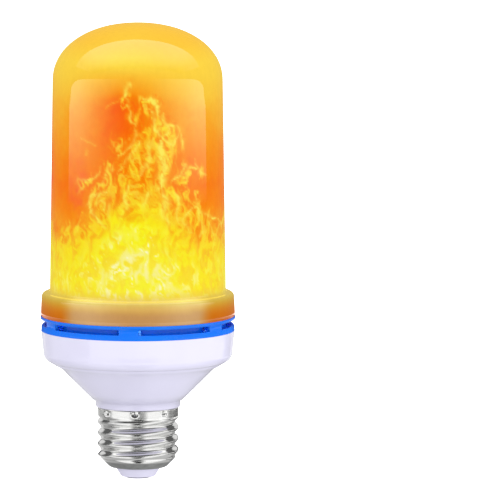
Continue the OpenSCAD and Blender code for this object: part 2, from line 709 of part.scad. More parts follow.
// SCREWS
module core_screw() {
    r = screw_d / 2;
    head_r = screw_head_d / 2;
    recess = [screw_head_d * 0.7, screw_head_d * 0.15, screw_head_h];
    difference() {
        turned([[0, -screw_l], [r / 2, -screw_l], [r, -screw_l + r], [r, 0], [head_r, 0],
                [head_r, screw_head_h * 0.4], [head_r * 0.7, screw_head_h - 0.1], [0, screw_head_h]]);
        for (a = [0, 90]) rotate(a)
            translate([-recess.x / 2, -recess.y / 2, screw_head_h * 0.45]) cube(recess);
    }
}

module core_screws() {
    color("lightgray") ring_of(boss_count, boss_ring_r, boss_phase)
        translate([0, 0, z_collar + former_flange_t]) core_screw();
}

centre_contact();
base_insulator();
screw_shell();
lamp_housing();
vent_ring();
diffuser_cover();
led_former();
flex_board();
control_board();
flame_controller();
tilt_switch();
board_socket();
lead_plug();
color("firebrick") dc_lead(0);  // red_lead
color("black") dc_lead(1);  // black_lead
driver_board();
input_capacitor();
output_capacitor();
choke_coil();
bridge_rectifier();
driver_chip();
flyback_diode();
fusible_resistor();
contact_lead();
shell_lead();
core_screws();
for (i = [1 : led_rows]) led_row(i);
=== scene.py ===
"""Flame effect LED bulb: looks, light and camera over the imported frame."""
import math

import bmesh
import bpy
import numpy as np
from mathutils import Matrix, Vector


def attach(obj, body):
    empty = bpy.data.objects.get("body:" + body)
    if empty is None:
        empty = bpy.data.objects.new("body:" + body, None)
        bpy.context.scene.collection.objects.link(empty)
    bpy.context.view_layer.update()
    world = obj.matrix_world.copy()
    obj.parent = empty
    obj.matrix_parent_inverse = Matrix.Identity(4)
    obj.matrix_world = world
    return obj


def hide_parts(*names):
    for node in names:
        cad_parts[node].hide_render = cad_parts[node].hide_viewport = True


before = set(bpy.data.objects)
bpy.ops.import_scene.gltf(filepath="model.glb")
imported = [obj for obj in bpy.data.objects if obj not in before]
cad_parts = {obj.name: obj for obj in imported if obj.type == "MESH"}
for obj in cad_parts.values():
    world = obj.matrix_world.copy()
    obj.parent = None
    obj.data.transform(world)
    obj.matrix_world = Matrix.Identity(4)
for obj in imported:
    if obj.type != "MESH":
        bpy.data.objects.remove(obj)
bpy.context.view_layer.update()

MM = 0.001

# Radii and heights of the outer pieces in millimetres, as in the part's source
SHELL_FOOT_R, SHELL_OPENING_R, SHELL_WALL = 8.2, 7.4, 0.3
THREAD_MEAN, THREAD_SWING, THREAD_PITCH, THREAD_LEAD_IN = 12.6, 0.55, 3.63, 2.04
ROOT_R, SKIRT_R, PUNCH_TURN = 12.05, 13.1, math.radians(-4)
Z_SHELL, Z_SHELL_TOP, Z_SKIRT = 3.4, 22.9, 20.3
Z_COLLAR, Z_TUBE, Z_DOME, Z_TOP = 52.5, 60.1, 128.5, 147.1
RING_R, COLLAR_TOP_R, TUBE_R, TUBE_TOP_R = 31.4, 31.0, 28.35, 27.4
DOME_FULLNESS = 2.12
COVER_WALL = 1.3
COLLAR_BORE_R, TUBE_BORE_R = COLLAR_TOP_R - COVER_WALL, TUBE_R - COVER_WALL


# ---------------------------------------------------------------- mesh tools
def arc(cx, cz, r, start, end, steps):
    """Points of an arc in the section plane, angles in degrees."""
    return [(cx + r * math.cos(math.radians(start + (end - start) * i / steps)),
             cz + r * math.sin(math.radians(start + (end - start) * i / steps))) for i in range(steps + 1)]


def dome_section(rx, rz, z, steps):
    """The dome's section from its spring to its crown, a little fuller than an ellipse."""
    out = []
    for i in range(steps + 1):
        a = math.pi / 2 * i / steps
        across, up = max(math.cos(a), 0) ** (2 / DOME_FULLNESS), math.sin(a) ** (2 / DOME_FULLNESS)
        out.append((rx * across if i < steps else 0.0, z + rz * up))
    return out


def line(a, b, steps):
    return [(a[0] + (b[0] - a[0]) * i / steps, a[1] + (b[1] - a[1]) * i / steps) for i in range(steps + 1)]


def chain(*runs):
    """One outline from several runs, without the points that two runs share."""
    out = []
    for run in runs:
        for p in run:
            if not out or math.hypot(p[0] - out[-1][0], p[1] - out[-1][1]) > 1e-4:
                out.append(p)
    return out


def turned(outline, steps, closed):
    """A bmesh of an outline spun round the axis."""
    bm = bmesh.new()
    verts = [bm.verts.new((r * MM, 0, z * MM)) for r, z in outline]
    edges = [bm.edges.new((a, b)) for a, b in zip(verts, verts[1:])]
    if closed:
        edges.append(bm.edges.new((verts[-1], verts[0])))
    bmesh.ops.spin(bm, geom=verts + edges, cent=(0, 0, 0), axis=(0, 0, 1), angle=2 * math.pi,
                   steps=steps, use_merge=True, use_duplicate=False)
    bmesh.ops.remove_doubles(bm, verts=bm.verts[:], dist=1e-7)
    bmesh.ops.recalc_face_normals(bm, faces=bm.faces[:])
    return bm


def piece(name, bm, node, finish, smooth_angle=40):
    """Makes the bmesh an object that stands for a CAD node."""
    mesh = bpy.data.meshes.new(name)
    bm.to_mesh(mesh)
    bm.free()
    obj = bpy.data.objects.new(name, mesh)
    bpy.context.scene.collection.objects.link(obj)
    mesh.shade_smooth()
    mesh.set_sharp_from_angle(angle=math.radians(smooth_angle))
    mesh.materials.append(finish)
    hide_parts(node)
    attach(obj, "root")
    return obj


def merged_copy(name, node, finish, smooth_angle=32):
    """A merged, smoothly shaded copy of a CAD node."""
    bm = bmesh.new()
    bm.from_mesh(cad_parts[node].data)
    bmesh.ops.remove_doubles(bm, verts=bm.verts[:], dist=2e-6)
    return piece(name, bm, node, finish, smooth_angle)


# ---------------------------------------------------------------- noise for the flames
def lattice(ix, iy, iz, seed):
    h = (ix * 374761393 + iy * 668265263 + iz * 2147483647 + seed * 1274126177) & 0xFFFFFFFF
    h = ((h ^ (h >> 13)) * 1103515245 + 12345) & 0xFFFFFFFF
    h = ((h ^ (h >> 15)) * 2246822519) & 0xFFFFFFFF
    return h ^ (h >> 13)


def noise(p, seed):
    """Gradient noise of the points p, about -1 to 1."""
    base = np.floor(p).astype(np.int64)
    f = p - base
    u = f * f * f * (f * (f * 6 - 15) + 10)
    total = np.zeros(len(p))
    for dx in (0, 1):
        for dy in (0, 1):
            for dz in (0, 1):
                h = lattice(base[:, 0] + dx, base[:, 1] + dy, base[:, 2] + dz, seed)
                a = (h & 1023) / 1023 * 2 * np.pi
                c = ((h >> 10) & 1023) / 1023 * 2 - 1
                s = np.sqrt(np.clip(1 - c * c, 0, 1))
                dot = np.cos(a) * s * (f[:, 0] - dx) + np.sin(a) * s * (f[:, 1] - dy) + c * (f[:, 2] - dz)
                total += (dot * (u[:, 0] if dx else 1 - u[:, 0]) * (u[:, 1] if dy else 1 - u[:, 1])
                          * (u[:, 2] if dz else 1 - u[:, 2]))
    return total * 1.6


def clouds(p, octaves, seed, gain=0.5):
    total, amp = np.zeros(len(p)), 1.0
    for i in range(octaves):
        total += amp * noise(p, seed + i)
        p, amp = p * 2.03 + 7.1, amp * gain
    return total


def soft(x, lo, hi):
    t = np.clip((x - lo) / (hi - lo), 0, 1)
    return t * t * (3 - 2 * t)


class FlowSheet:
    """Fine lines drawn out along a curling upward flow, on a sheet unrolled round the tube."""

    def __init__(self, r=27.9, low=54.0, high=138.0, cell=0.25):
        self.low, self.cell = low, cell
        self.nx, self.nz = round(2 * math.pi * r / cell), int((high - low) / cell)
        turn, z = np.meshgrid(np.arange(self.nx) * 2 * math.pi / self.nx, low + np.arange(self.nz) * cell)
        on = np.stack([r * np.sin(turn.ravel()), -r * np.cos(turn.ravel()), z.ravel()], 1)
        curl = (clouds(on / np.array([6.0, 6.0, 8.0]), 3, 301) * 6.0).reshape(self.nz, self.nx)
        away = (turn + math.pi) % (2 * math.pi) - math.pi
        across = 0.9 * np.gradient(curl, cell, axis=0) - 0.3 * np.sin(away) * soft(z, 72, 95) * (np.abs(away) < 1.1)
        rise = 0.95 - 0.9 * (np.roll(curl, -1, 1) - np.roll(curl, 1, 1)) / (2 * cell)
        speed = np.hypot(across, rise) + 1e-6
        self.across, self.rise = across / speed, rise / speed
        chance = np.random.default_rng(12)
        self.hair = self.drawn_out(self.blurred(chance.random((self.nz, self.nx)), 1), 9)
        self.silk = self.drawn_out(self.blurred(chance.random((self.nz, self.nx)), 3), 18)
        self.fibre = self.drawn_out(chance.random((self.nz, self.nx)), 7)

    def blurred(self, image, times):
        for _ in range(times):
            image = (np.roll(image, 1, 1) + 2 * image + np.roll(image, -1, 1)) / 4
            image = (np.vstack([image[1:], image[-1:]]) + 2 * image + np.vstack([image[:1], image[:-1]])) / 4
        return image

    def pick(self, image, x, z):
        x0, z0 = np.floor(x).astype(int), np.clip(np.floor(z).astype(int), 0, self.nz - 2)
        fx, fz = x - x0, np.clip(z - z0, 0, 1)
        x0 %= self.nx
        x1 = (x0 + 1) % self.nx
        return ((image[z0, x0] * (1 - fx) + image[z0, x1] * fx) * (1 - fz)
                + (image[z0 + 1, x0] * (1 - fx) + image[z0 + 1, x1] * fx) * fz)

    def drawn_out(self, image, steps, stride=1.2):
        """The image averaged along the flow, both ways, and evened to a spread of one."""
        x0, z0 = np.meshgrid(np.arange(self.nx, dtype=float), np.arange(self.nz, dtype=float))
        total = image.copy()
        for way in (1, -1):
            x, z = x0.copy(), z0.copy()
            for k in range(1, steps + 1):
                xi, zi = np.round(x).astype(int) % self.nx, np.clip(np.round(z).astype(int), 0, self.nz - 1)
                x += way * stride * self.across[zi, xi]
                z += way * stride * self.rise[zi, xi]
                total += (0.5 + 0.5 * math.cos(math.pi * k / (steps + 1))) * self.pick(image, x, z)
        total -= total.mean()
        return total / total.std()

    def at(self, image, phi, z):
        return self.pick(image, (phi % (2 * math.pi)) * self.nx / (2 * math.pi), (z - self.low) / self.cell)


# ---------------------------------------------------------------- the flames' drawing
# Every point is (distance round the tube from the front, height) in millimetres.
# Tongues of a plume: centre, half width, half height, lean, strength
TONGUES = [
    (-2.7, 128.6, 1.0, 2.9, 0.1, 0.55), (-3.4, 124.1, 1.6, 2.3, 0.0, 0.5), (3.4, 124.1, 2.3, 1.9, -0.5, 0.75),
    (-1.4, 119.2, 1.9, 3.9, 0.1, 0.5), (5.7, 119.8, 2.6, 3.9, -0.5, 0.85), (7.4, 114.5, 4.5, 3.9, -0.3, 0.85),
    (12.9, 113.4, 2.9, 3.2, -0.4, 0.75), (2.8, 112.7, 3.2, 3.9, 0.2, 0.7), (-5.3, 111.7, 3.6, 2.2, 0.5, 0.22),
    (0.2, 108.2, 4.6, 4.3, 0.8, 0.72), (6.4, 105.6, 4.4, 7.0, 0.1, 1.0), (-7.7, 105.4, 4.2, 3.4, 0.9, 0.4),
    (-3.0, 100.5, 6.2, 4.2, 0.6, 0.56), (-15.5, 108.2, 2.6, 1.6, 0.3, 0.3), (-17.0, 97.8, 2.9, 2.6, 0.4, 0.42),
    (14.4, 100.0, 4.5, 2.9, 0.3, 0.62), (21.7, 101.6, 2.9, 2.3, -0.4, 0.5), (12.6, 108.4, 2.6, 4.5, -0.2, 0.5),
    (4.1, 96.0, 7.7, 5.2, 0.2, 0.9), (-9.7, 95.2, 5.2, 3.9, 0.5, 0.72), (-13.7, 90.3, 4.5, 5.2, -0.3, 0.75),
    (-3.4, 89.5, 8.4, 7.1, 0.2, 0.95), (6.7, 88.2, 9.0, 7.1, 0.0, 1.0), (20.8, 85.9, 6.5, 4.5, -0.2, 0.85),
    (27.9, 80.0, 4.5, 4.5, -0.4, 0.8), (-11.1, 82.1, 7.7, 5.2, -0.2, 0.85), (15.3, 93.5, 3.9, 4.5, 0.0, 0.6),
    (-22.6, 80.2, 5.8, 2.9, 0.2, 0.55), (36.4, 80.7, 1.9, 3.9, -0.4, 0.4),
]
# Strands: brightness, half width, points
STRANDS = [
    (0.75, 0.5, [(-2.2, 131.5), (-3.0, 129.4), (-3.8, 127.0), (-4.1, 125.7)]),
    (0.45, 0.35, [(-5.1, 125.3), (-6.3, 124.0), (-8.5, 123.4), (-10.2, 122.8)]),
    (0.55, 0.4, [(-4.1, 126.1), (-2.6, 124.1), (-2.4, 121.6), (-2.6, 118.7), (-1.0, 117.5), (-0.6, 116.0)]),
    (0.95, 0.75, [(2.5, 125.4), (4.4, 124.5), (6.1, 122.8), (7.0, 120.3)]),
    (0.7, 0.5, [(7.0, 120.3), (8.9, 118.1), (10.0, 116.4), (12.6, 115.8), (14.4, 114.8), (15.4, 112.3), (15.8, 110.1),
                (15.6, 106.9)]),
    (0.7, 0.5, [(3.6, 122.0), (5.7, 119.9), (5.7, 117.9), (7.0, 115.3), (8.2, 112.8), (10.4, 111.4), (12.6, 110.8),
                (14.0, 112.4), (14.4, 114.0)]),
    (0.6, 0.4, [(8.9, 120.6), (9.3, 118.0), (10.4, 115.0), (9.3, 113.1)]),
    (1.0, 1.2, [(7.8, 111.1), (8.2, 107.0), (8.9, 103.6), (8.2, 99.5), (7.3, 96.8)]),
    (0.7, 0.4, [(9.9, 108.6), (10.2, 104.8), (9.5, 101.8)]),
    (0.7, 0.6, [(5.2, 112.7), (3.6, 108.8), (4.4, 105.9), (2.7, 103.5), (0.7, 100.9)]),
    (0.3, 0.35, [(-2.6, 113.2), (-4.3, 111.2), (-6.3, 109.5), (-7.7, 110.7), (-8.5, 111.9)]),
    (0.6, 0.5, [(-0.6, 115.9), (0.2, 113.3), (-1.7, 111.1), (-4.0, 108.2), (-6.0, 106.2)]),
    (0.55, 0.45, [(1.2, 112.0), (-0.5, 108.8), (-2.7, 106.8), (-4.3, 104.0), (-5.7, 101.1)]),
    (0.4, 0.35, [(-19.6, 112.1), (-17.0, 110.7), (-14.0, 109.7)]),
    (0.5, 0.4, [(-12.0, 104.1), (-12.9, 101.2), (-15.9, 99.4), (-19.6, 98.7), (-21.2, 98.1), (-19.6, 96.2), (-18.6, 95.0)]),
    (0.5, 0.4, [(-8.0, 104.6), (-8.6, 102.7), (-11.0, 99.3), (-12.9, 96.6)]),
    (0.8, 0.6, [(-9.7, 95.5), (-12.1, 94.8), (-15.1, 93.6), (-16.3, 91.6), (-16.0, 89.4), (-14.4, 87.0), (-12.1, 85.9),
                (-10.3, 83.4)]),
    (0.6, 0.45, [(-14.0, 90.6), (-12.5, 92.3), (-10.3, 91.4), (-11.0, 88.5)]),
    (0.65, 0.5, [(10.4, 98.0), (12.6, 100.1), (15.0, 101.1), (16.0, 103.5), (17.7, 102.6), (21.2, 102.3), (25.5, 100.0)]),
    (0.45, 0.35, [(20.0, 105.7), (21.2, 103.1), (23.2, 100.9), (26.3, 98.7)]),
    (0.7, 0.5, [(16.0, 87.1), (17.7, 88.6), (20.0, 89.4), (21.9, 88.5), (25.3, 87.2), (29.6, 85.6), (34.6, 83.7),
                (36.9, 81.2)]),
    (0.6, 0.45, [(21.9, 90.4), (21.4, 87.6), (22.6, 84.8), (23.9, 82.5), (21.9, 79.9)]),
    (0.6, 0.45, [(26.9, 84.9), (28.6, 81.4), (30.3, 78.5), (28.7, 75.5)]),
    (0.6, 0.5, [(16.9, 88.0), (15.6, 85.6), (17.3, 83.2), (19.4, 81.8)]),
    (0.8, 0.7, [(4.1, 96.0), (2.8, 92.8), (1.8, 88.9), (3.1, 85.1), (1.8, 80.5)]),
    (0.7, 0.65, [(-3.0, 97.3), (-4.4, 93.7), (-3.4, 90.2), (-5.3, 86.2), (-6.7, 81.6)]),
    (0.8, 0.75, [(7.4, 96.5), (9.4, 92.5), (8.4, 88.7), (10.0, 84.7), (9.1, 79.6)]),
    (0.6, 0.5, [(-8.3, 92.7), (-9.4, 88.7), (-8.3, 85.5), (-9.7, 80.8)]),
    (0.6, 0.5, [(12.9, 95.6), (13.9, 92.3), (12.6, 89.1), (13.6, 85.0)]),
]
# The plumes round the tube: azimuth from the front, width, mirrored or not, drop of the tips
PLUMES = [(0.0, 1.0, 1, 0.0), (2.22, 0.84, -1, 5.0), (-2.16, 0.9, -1, -3.0)]

# Green of the glow behind the flames, by height: beside the plumes and in their middle
GLOW_BESIDE = [(60, 206), (65.6, 217), (69.4, 213), (73.3, 205), (77.2, 187), (81, 162), (89, 139), (96.7, 131),
               (104.6, 144), (112.3, 163), (120, 183), (124.7, 199), (128.5, 205), (131, 210), (136, 212), (139, 206),
               (142, 199), (147, 198)]
GLOW_MIDDLE = [(60, 215), (82, 180), (95, 140), (105, 126), (114, 113), (118.3, 109), (122.2, 113), (124.8, 128),
               (126.8, 152), (128.7, 165), (130.6, 178), (132.6, 193), (134.4, 209), (136.2, 220), (138.1, 221),
               (139.9, 213), (141.6, 207), (143.2, 204), (147, 200)]
GLOW_RAMP = [(100, (252, 100, 8)), (130, (252, 130, 19)), (160, (252, 160, 36)), (205, (252, 205, 65)),
             (222, (253, 222, 76))]
COLLAR_RAMP = [(0.0, (198, 147, 90)), (0.42, (200, 149, 90)), (0.57, (211, 162, 88)), (0.7, (222, 177, 95)),
               (0.83, (224, 186, 97)), (0.93, (228, 200, 100)), (1.0, (236, 206, 100))]
# The collar's deeper orange at its sides, away from the front, is painted shade
COLLAR_SIDE_SHADE_RAMP = [(0.0, (205, 106, 18)), (0.33, (210, 116, 24)), (0.54, (214, 133, 38)), (0.75, (214, 159, 52)),
                    (0.92, (214, 180, 74)), (1.0, (220, 190, 82))]


def ramp(table, t):
    at = [p for p, _ in table]
    return np.stack([np.interp(t, at, [c[k] for _, c in table]) for k in range(3)], 1)


def curve_through(points, steps=6):
    p = np.array(points)
    p = np.vstack([2 * p[0] - p[1], p, 2 * p[-1] - p[-2]])
    out = []
    for a, b, c, d in zip(p, p[1:], p[2:], p[3:]):
        for k in range(steps):
            t = k / steps
            out.append(0.5 * (2 * b + (c - a) * t + (2 * a - 5 * b + 4 * c - d) * t * t + (3 * b - a - 3 * c + d) * t ** 3))
    out.append(p[-2])
    return np.array(out)


def tongues_at(u, z):
    total = np.zeros(len(u))
    for cu, cz, ru, rz, lean, strength in TONGUES:
        du = (u - cu - lean * (z - cz) * 0.6) / ru
        dz = (z - cz) / rz
        total = 1 - (1 - total) * (1 - strength * np.exp(-0.9 * (du * du + dz * dz)))
    return total


def strands_at(u, z):
    glow = np.zeros(len(u))
    for weight, half, points in STRANDS:
        route = curve_through(points)
        lo, hi = route.min(0) - 5, route.max(0) + 5
        near = np.where((u > lo[0]) & (u < hi[0]) & (z > lo[1]) & (z < hi[1]))[0]
        if not len(near):
            continue
        q = np.stack([u[near], z[near]], 1)
        best, where = np.full(len(near), 1e9), np.zeros(len(near))
        n = len(route) - 1
        for i in range(n):
            step = route[i + 1] - route[i]
            t = np.clip(((q - route[i]) @ step) / (step @ step + 1e-9), 0, 1)
            d = np.hypot(*(q - (route[i] + t[:, None] * step)).T)
            closer = d < best
            best[closer], where[closer] = d[closer], ((i + t) / n)[closer]
        taper = np.sqrt(np.clip(4 * where * (1 - where), 0, 1)) * 0.7 + 0.3
        glow[near] = np.maximum(glow[near], weight * (0.72 * np.exp(-(best / (half * taper)) ** 2)
                                                      + 0.28 * np.exp(-(best / (3 * half * taper)) ** 2)))
    return glow


def over(colour, tone, share):
    share = np.clip(share, 0, 1)[:, None]
    return colour * (1 - share) + np.asarray(tone, float) * share


def cover_colour(phi, z):
    """The lit cover's look at azimuth phi from the front and height z, as sRGB values, with a painted highlight and
    painted shade on the collar.
    """
    sheet, r = FlowSheet(), 27.9
    on = np.stack([r * np.sin(phi), -r * np.cos(phi), z], 1)
    big = np.stack([clouds(on / 13, 2, 11), clouds(on / 13, 2, 31)], 1)
    mid = np.stack([clouds(on / 4.5, 2, 51), clouds(on / 4.5, 2, 71)], 1)
    fine = np.stack([clouds(on / 1.8, 2, 91), clouds(on / 1.8, 2, 95)], 1)
    hair, silk, fibre = (sheet.at(image, phi, z) for image in (sheet.hair, sheet.silk, sheet.fibre))

    strands, tongues, blush, middle, edge, core = (np.zeros(len(z)) for _ in range(6))
    for azimuth, width, side, drop in PLUMES:
        away = (phi - azimuth + math.pi) % (2 * math.pi) - math.pi
        u = side * r * away / width
        h = Z_TUBE + (z - Z_TUBE) * (1 + drop / 68)
        strands = np.maximum(strands, strands_at(u + 0.8 * mid[:, 0] + 0.35 * fine[:, 0], h + 1.0 * mid[:, 1] + 0.35 * fine[:, 1]))
        tongues = np.maximum(tongues, tongues_at(u + 1.8 * mid[:, 0], h + 2.0 * mid[:, 1]))
        blush = np.maximum(blush, np.exp(-(((u + 21) / 5) ** 2 + ((h - 96) / 8) ** 2)) + 0.6 * np.exp(-(((u + 8) / 5) ** 2 + ((h - 97) / 5) ** 2))
                           + 0.6 * np.exp(-(((u - 16) / 6) ** 2 + ((h - 100) / 7) ** 2)))
        middle = np.maximum(middle, np.exp(-((u + 4) / 14) ** 2))
        edge = np.maximum(edge, np.exp(-(u / 14) ** 2))
        core = np.maximum(core, np.exp(-(((u + 4.6) / 4.6) ** 2 + ((h - 124.2) / 3.6) ** 2)))

    # Glow behind the flames
    beside = np.interp(z, *zip(*GLOW_BESIDE))
    inner = np.interp(z, *zip(*GLOW_MIDDLE))
    calm = 1 - soft(z, 120, 131)
    level = beside + (inner - beside) * middle - 24 * core + calm * (7 * big[:, 1] + 5 * mid[:, 0] + 3 * fine[:, 0])
    colour = ramp(GLOW_RAMP, level)
    colour = over(colour, (255, 96, 62), blush * (0.7 + 0.8 * mid[:, 1]) * 0.6)

    # The body of the fire: thin veils above, a full yellow glow at the foot
    foot = soft(80.5 + 11.5 * edge + 3.5 * big[:, 0] + 2.5 * mid[:, 1] - z, -7, 8)
    fire = 1 - (1 - tongues) * (1 - foot)
    low = soft(79.5 + 12 * edge + 3 * big[:, 0] - z, -6, 10)
    here = soft(fire, 0.03, 0.22)
    flow = 0.3 * silk + 0.14 * hair + 0.18 * mid[:, 1] + 0.14 * fine[:, 0]
    body = soft(fire + 0.8 * flow, 0.35, 1.05) * here
    colour = over(colour, (253, 168, 38), body * 0.75)
    colour = over(colour, (253, 220, 44), body ** 1.8 * (0.4 + 0.55 * low))
    # Orange gaps between the veils
    gaps = soft(-0.7 * silk - 0.35 * fibre + 0.7 * fine[:, 1] - 0.5 * mid[:, 0], 0.0, 1.4) * here
    colour = over(colour, (252, 136, 26), gaps * (0.8 * (1 - 0.9 * low)))
    # Veils and hair-fine curls
    colour = over(colour, (244, 142, 24), soft(-fibre, 0.5, 1.7) * soft(fire, 0.2, 0.8) * (0.5 - 0.32 * low))
    veils = soft(silk + 0.5 * mid[:, 0], 0.2, 1.8)
    curls = np.exp(-((hair - 0.3) / 0.4) ** 2) * 0.35 + soft(hair, 0.4, 1.7) * 0.85
    patch = 0.25 + 0.75 * soft(fine[:, 1] + 0.6 * mid[:, 1], -0.5, 0.6)
    curls = np.maximum(curls * patch, 0.85 * soft(fibre, 0.5, 1.8) * (1.2 - patch))
    wisp = soft(fire + 0.25 * silk, 0.2, 0.9) * here
    colour = over(colour, (253, 222, 78), veils * wisp * (0.5 - 0.4 * low))
    colour = over(colour, (253, 241, 56), curls * wisp * (0.85 - 0.35 * low))
    # Drawn strands
    colour = over(colour, (253, 235, 92), 1.2 * strands * (0.5 + 0.4 * patch + 0.16 * hair + 0.12 * fibre) * (1 - 0.4 * low))
    # The foot: saturated yellow with soft cream patches and pale flecks
    depth = soft(76 + 12.5 * edge + 3 * mid[:, 0] + 3 * big[:, 1] - z, -7, 7)
    colour = over(colour, (251, 246, 30), depth * (0.68 + 0.32 * soft(silk + hair, -1.8, 1.2)) * (0.56 + 0.44 * edge))
    heart = soft(72.5 + 10.5 * edge + 3 * mid[:, 0] - z, -6, 12) * (0.45 + 0.55 * edge)
    patches = soft(0.7 * silk + 1.3 * big[:, 0] + 0.9 * mid[:, 0], -0.3, 1.4)
    colour = over(colour, (252, 244, 178), heart * (0.22 + 0.78 * patches) * 0.85)
    flecks = soft(0.8 * hair + 0.4 * fibre + 0.6 * fine[:, 0] + 0.5 * mid[:, 0], 0.6, 1.7) * soft(75 + 13 * edge - z, 0, 10)
    colour = over(colour, (254, 246, 110), flecks * 0.55)
    colour = over(colour, (255, 254, 222), flecks ** 1.3 * edge * 0.9)

    colour = over(colour, (238, 205, 88), 0.6 * (1 - soft(z, 60.4, 64)))

    # The collar below the flames, lighter towards its top, with a painted highlight and painted shade
    share = np.clip((z - Z_COLLAR) / (Z_TUBE - Z_COLLAR), 0, 1)
    collar = ramp(COLLAR_RAMP, share + 0.04 * mid[:, 0])
    turn = np.abs((phi + math.pi) % (2 * math.pi) - math.pi) * r
    # Painted highlight: a pale band on the collar about 15 mm round from the front
    collar = collar + np.exp(-((turn - 15) / 7) ** 2)[:, None] * np.array([9, 15, 19])
    # Painted shade: towards the sides, away from the front, the collar turns deeper orange
    side = soft(turn + big[:, 0], 19.5, 26)
    collar = collar * (1 - side[:, None]) + ramp(COLLAR_SIDE_SHADE_RAMP, share) * side[:, None]
    joint = soft(z, 59.6, 61.6)[:, None]
    return np.clip(collar * (1 - joint) + colour * joint, 0, 255)


def linear(srgb):
    c = np.asarray(srgb, float) / 255
    return np.where(c <= 0.04045, c / 12.92, ((c + 0.055) / 1.055) ** 2.4)


# ---------------------------------------------------------------- materials
def finish(name, colour, roughness, metallic=0.0, specular=0.5):
    """A material with its shader's plain values set."""
    mat = bpy.data.materials.new(name)
    mat.use_nodes = True
    shader = mat.node_tree.nodes["Principled BSDF"]
    shader.inputs["Base Color"].default_value = (*linear(colour), 1)
    shader.inputs["Roughness"].default_value = roughness
    shader.inputs["Metallic"].default_value = metallic
    shader.inputs["Specular IOR Level"].default_value = specular
    return mat


def add(mat, kind, **values):
    node = mat.node_tree.nodes.new(kind)
    for key, value in values.items():
        if key in node.inputs:
            node.inputs[key].default_value = value
        else:
            setattr(node, key, value)
    return node


def grain(mat, scale, stretch=(1, 1, 1), detail=3.0, rough=0.55):
    """Noise in object coordinates, scale in cycles a metre."""
    links = mat.node_tree.links
    coords = add(mat, "ShaderNodeTexCoord")
    mapping = add(mat, "ShaderNodeMapping")
    mapping.inputs["Scale"].default_value = stretch
    tex = add(mat, "ShaderNodeTexNoise", Scale=scale, Detail=detail, Roughness=rough)
    links.new(coords.outputs["Object"], mapping.inputs["Vector"])
    links.new(mapping.outputs["Vector"], tex.inputs["Vector"])
    return tex


def spread_of(mat, tex, low, high, start=0.3, end=0.7):
    """Maps a noise to values between low and high."""
    node = add(mat, "ShaderNodeMapRange")
    node.inputs["From Min"].default_value = start
    node.inputs["From Max"].default_value = end
    node.inputs["To Min"].default_value = low
    node.inputs["To Max"].default_value = high
    mat.node_tree.links.new(tex.outputs["Fac"], node.inputs["Value"])
    return node.outputs["Result"]


def shades(mat, tex, dark, light, start=0.3, end=0.7):
    """A colour between two shades, led by a noise."""
    node = add(mat, "ShaderNodeValToRGB")
    node.color_ramp.elements[0].position, node.color_ramp.elements[1].position = start, end
    node.color_ramp.elements[0].color = (*linear(dark), 1)
    node.color_ramp.elements[1].color = (*linear(light), 1)
    mat.node_tree.links.new(tex.outputs["Fac"], node.inputs["Fac"])
    return node.outputs["Color"]


def bumped(mat, tex, strength, depth_mm):
    node = add(mat, "ShaderNodeBump", Strength=strength, Distance=depth_mm * MM)
    mat.node_tree.links.new(tex.outputs["Fac"], node.inputs["Height"])
    mat.node_tree.links.new(node.outputs["Normal"], mat.node_tree.nodes["Principled BSDF"].inputs["Normal"])


def plug_in(mat, socket, value):
    mat.node_tree.links.new(value, mat.node_tree.nodes["Principled BSDF"].inputs[socket])


def moulded(name, dark, light, rough=(0.3, 0.42), grain_scale=2600, bump=0.12, coat=0.0, specular=0.5):
    """Moulded plastic: faint flow marks, a fine grain and an uneven gloss, some with a smooth skin."""
    mat = finish(name, light, rough[0], specular=specular)
    mat.node_tree.nodes["Principled BSDF"].inputs["Coat Weight"].default_value = coat
    mat.node_tree.nodes["Principled BSDF"].inputs["Coat Roughness"].default_value = 0.03
    flow = grain(mat, 55, (1, 1, 0.6), 2.0)
    fine = grain(mat, grain_scale, detail=2.0)
    plug_in(mat, "Base Color", shades(mat, flow, dark, light))
    plug_in(mat, "Roughness", spread_of(mat, grain(mat, 240), *rough))
    bumped(mat, fine, bump, 0.02)
    return mat


def plated(name, dark, light, rough, stretch=(1, 1, 30), scale=160, bump=0.1):
    """Drawn or turned metal with fine lines round the axis."""
    mat = finish(name, light, rough[0], metallic=1.0)
    lines = grain(mat, scale, stretch, 4.0)
    plug_in(mat, "Base Color", shades(mat, grain(mat, 420), dark, light))
    plug_in(mat, "Roughness", spread_of(mat, lines, *rough))
    bumped(mat, lines, bump, 0.02)
    return mat


housing_white = moulded("housing_white", (222, 219, 241), (227, 224, 246), (0.42, 0.52), bump=0.06, coat=0.8)
insulator_white = moulded("insulator_white", (214, 211, 233), (224, 221, 242), (0.32, 0.45))
vent_blue = moulded("vent_blue", (1, 110, 236), (2, 119, 246), (0.2, 0.3), bump=0.06, specular=0.3)
former_white = moulded("former_white", (228, 228, 222), (236, 236, 231), (0.5, 0.6))
nylon = moulded("nylon_ivory", (226, 220, 198), (236, 231, 211), (0.42, 0.55))
epoxy = moulded("moulded_epoxy", (20, 20, 22), (34, 34, 37), (0.5, 0.68), bump=0.35)
sleeve = moulded("shrunk_sleeve", (14, 17, 26), (22, 26, 38), (0.24, 0.36))
lacquer = moulded("green_lacquer", (60, 112, 88), (78, 134, 106), (0.3, 0.42))
red_jacket = moulded("red_lead_jacket", (158, 14, 12), (182, 22, 18), (0.38, 0.5))
black_jacket = moulded("black_lead_jacket", (18, 18, 19), (30, 30, 32), (0.38, 0.5))
contact_dull = plated("pressed_contact", (30, 34, 48), (44, 50, 68), (0.45, 0.6))
can_bright = plated("drawn_can", (188, 188, 186), (212, 212, 210), (0.22, 0.34))
zinc = plated("zinc_plate", (168, 170, 172), (196, 198, 200), (0.26, 0.4), (1, 1, 1), 900)
winding = plated("enamelled_winding", (150, 74, 32), (196, 104, 50), (0.3, 0.42), (0.2, 0.2, 6), 900, 0.6)


